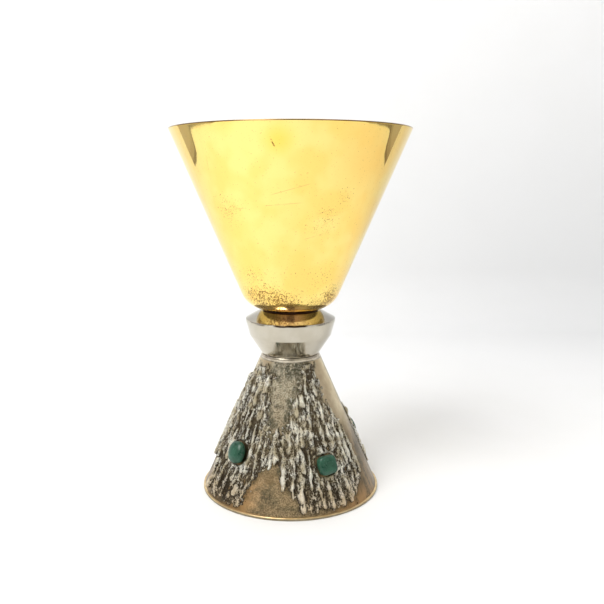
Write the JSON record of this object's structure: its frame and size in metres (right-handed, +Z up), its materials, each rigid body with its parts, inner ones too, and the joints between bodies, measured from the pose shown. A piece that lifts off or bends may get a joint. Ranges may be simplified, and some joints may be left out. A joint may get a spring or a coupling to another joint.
{
  "type": "communion chalice",
  "caption": "Communion chalice with a gilt conical cup, screwed through a nickel knop into a hollow cone foot that has bark-like relief and set green stones.",
  "frame": {"origin": "centre of the circle that the foot rests on", "axes": "+Z up along the axis of the cup and foot; -Y is the front, where two of the stones show; +X is to the viewer's right"},
  "size_m": [0.1158, 0.1158, 0.178],
  "materials": {
    "gilt_bowl": "mirror-polished gilding with light tarnish specks",
    "gilt_ring": "polished gilding, worn on its edge",
    "nickel_knop": "polished warm nickel plate",
    "silvered_foot": "satin silvered bronze, toned tan",
    "oxidised_relief": "rough cast relief, dark in the hollows and bright on the ridges",
    "turned_brass": "as turned",
    "seat_leather": "dark waxed leather",
    "green_stone": "polished, slightly cloudy"
  },
  "bodies": {
    "foot": {"foot_cone": "silvered_foot", "foot_plug": "silvered_foot", "foot_nut": "turned_brass", "base_ring": "gilt_ring", "knop": "nickel_knop", "relief_1": "oxidised_relief", "relief_2": "oxidised_relief", "relief_3": "oxidised_relief", "relief_4": "oxidised_relief", "stone_1": "green_stone", "stone_2": "green_stone", "stone_3": "green_stone", "stone_4": "green_stone"},
    "washer": {"seat_washer": "seat_leather"},
    "cup": {"bowl": "gilt_bowl", "bowl_boss": "turned_brass", "tie_rod": "turned_brass"}
  },
  "joints": [
    {"name": "bowl_turn", "type": "hinge", "parent": "foot", "child": "washer", "pos_m": [0, 0, 0.0907], "axis": [0, 0, 1], "range_deg": [0, 2304]},
    {"name": "bowl_rise", "type": "slide", "parent": "washer", "child": "cup", "axis": [0, 0, 1], "range_m": [0, 0.0081]}
  ],
  "couplings": [
    {"joint": "bowl_rise", "follows": "bowl_turn", "m_per_rad": 0.00019894}
  ]
}
